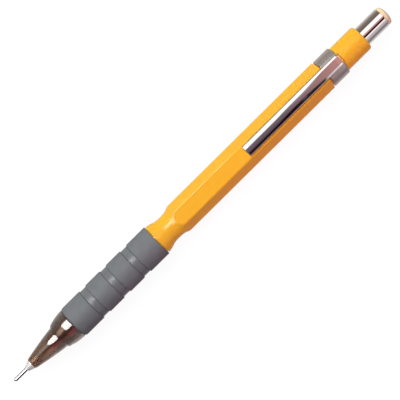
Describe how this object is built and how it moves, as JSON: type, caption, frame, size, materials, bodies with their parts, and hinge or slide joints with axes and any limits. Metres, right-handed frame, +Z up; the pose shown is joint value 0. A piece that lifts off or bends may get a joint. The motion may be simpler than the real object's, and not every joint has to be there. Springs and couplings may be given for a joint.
{
  "type": "mechanical pencil",
  "caption": "Push-button mechanical pencil with a hexagonal barrel, grooved rubber grip, see-through nose and pocket clip.",
  "frame": {"origin": "middle of the pencil's length and width, at the height of the grip's underside", "axes": "+X along the pencil from the lead to the push button, +Z up through the pocket clip, +Y to the side"},
  "size_m": [0.144, 0.01, 0.0102],
  "materials": {
    "orange_plastic": "smooth gloss orange-yellow moulding",
    "grey_rubber": "matt grey rubber",
    "smoke_plastic": "see-through smoke brown",
    "polished_chrome": "mirror polished",
    "grey_metal": "satin metallic grey",
    "bright_steel": "fine turned steel",
    "spring_steel": "drawn wire",
    "brass": "turned brass",
    "black_plastic": "matt black",
    "natural_plastic": "unpigmented, slightly milky",
    "black_rubber": "soft black rubber",
    "white_eraser": "powdery white vinyl",
    "pale_plastic": "glossy pale peach",
    "graphite": "polymer-bonded graphite lead"
  },
  "bodies": {
    "housing": {"barrel": "orange_plastic", "grip_sleeve": "grey_rubber", "thread_insert": "brass", "mechanism_sleeve": "brass", "clip_ring": "grey_metal", "tail_cap": "orange_plastic", "return_spring": "spring_steel"},
    "nose": {"nose_cone": "smoke_plastic", "tip_cone": "bright_steel", "lead_sleeve": "bright_steel", "lead_retainer": "black_rubber"},
    "plunger": {"lead_tube": "natural_plastic", "tube_connector": "black_plastic", "chuck_stem": "brass", "spare_lead_1": "graphite", "spare_lead_2": "graphite", "spare_lead_3": "graphite"},
    "clutch": {"clutch_ring": "brass"},
    "jaw_1": {"chuck_jaw_1": "brass"},
    "jaw_2": {"chuck_jaw_2": "brass"},
    "jaw_3": {"chuck_jaw_3": "brass"},
    "lead": {"writing_lead": "graphite"},
    "cap": {"button_cap": "polished_chrome", "button_end": "pale_plastic"},
    "refill_plug": {"eraser_holder": "bright_steel", "eraser": "white_eraser"},
    "clip": {"clip": "polished_chrome"}
  },
  "joints": [
    {"name": "push_button", "type": "slide", "parent": "housing", "child": "plunger", "axis": [-1, 0, 0], "range_m": [0, 0.004], "stiffness_N_per_m": 400, "springref_m": -0.01, "deforming": ["return_spring"]},
    {"name": "clutch_slide", "type": "slide", "parent": "housing", "child": "clutch", "axis": [-1, 0, 0], "range_m": [0, 0.001]},
    {"name": "lead_feed", "type": "slide", "parent": "housing", "child": "lead", "axis": [-1, 0, 0], "range_m": [0, 0.001]},
    {"name": "jaw_1_open", "type": "hinge", "parent": "plunger", "child": "jaw_1", "pos_m": [-0.05, 0, 0.00565], "axis": [0, 1, 0], "range_deg": [0, 1.5]},
    {"name": "jaw_2_open", "type": "hinge", "parent": "plunger", "child": "jaw_2", "pos_m": [-0.05, -0.00056, 0.00468], "axis": [0, -0.5, 0.866], "range_deg": [0, 1.5]},
    {"name": "jaw_3_open", "type": "hinge", "parent": "plunger", "child": "jaw_3", "pos_m": [-0.05, 0.00056, 0.00468], "axis": [0, -0.5, -0.866], "range_deg": [0, 1.5]},
    {"name": "nose_removal", "type": "slide", "parent": "housing", "child": "nose", "axis": [-1, 0, 0], "range_m": [0, 0.025]},
    {"name": "button_cap_pull", "type": "slide", "parent": "plunger", "child": "cap", "axis": [1, 0, 0], "range_m": [0, 0.03]},
    {"name": "eraser_pull", "type": "slide", "parent": "plunger", "child": "refill_plug", "axis": [1, 0, 0], "range_m": [0, 0.013]},
    {"name": "clip_flex", "type": "hinge", "parent": "housing", "child": "clip", "pos_m": [0.0536, 0, 0.0096], "axis": [0, 1, 0], "range_deg": [0, 3], "stiffness_Nm_per_rad": 1, "springref_deg": -1.72}
  ],
  "couplings": [
    {"joint": "clutch_slide", "follows": "push_button", "ratio": 0.2},
    {"joint": "lead_feed", "follows": "push_button", "ratio": 0.2},
    {"joint": "jaw_1_open", "follows": "push_button", "rad_per_m": 6},
    {"joint": "jaw_2_open", "follows": "push_button", "rad_per_m": 6},
    {"joint": "jaw_3_open", "follows": "push_button", "rad_per_m": 6},
    {"joint": "eraser_pull", "follows": "button_cap_pull", "ratio": 0.4}
  ]
}
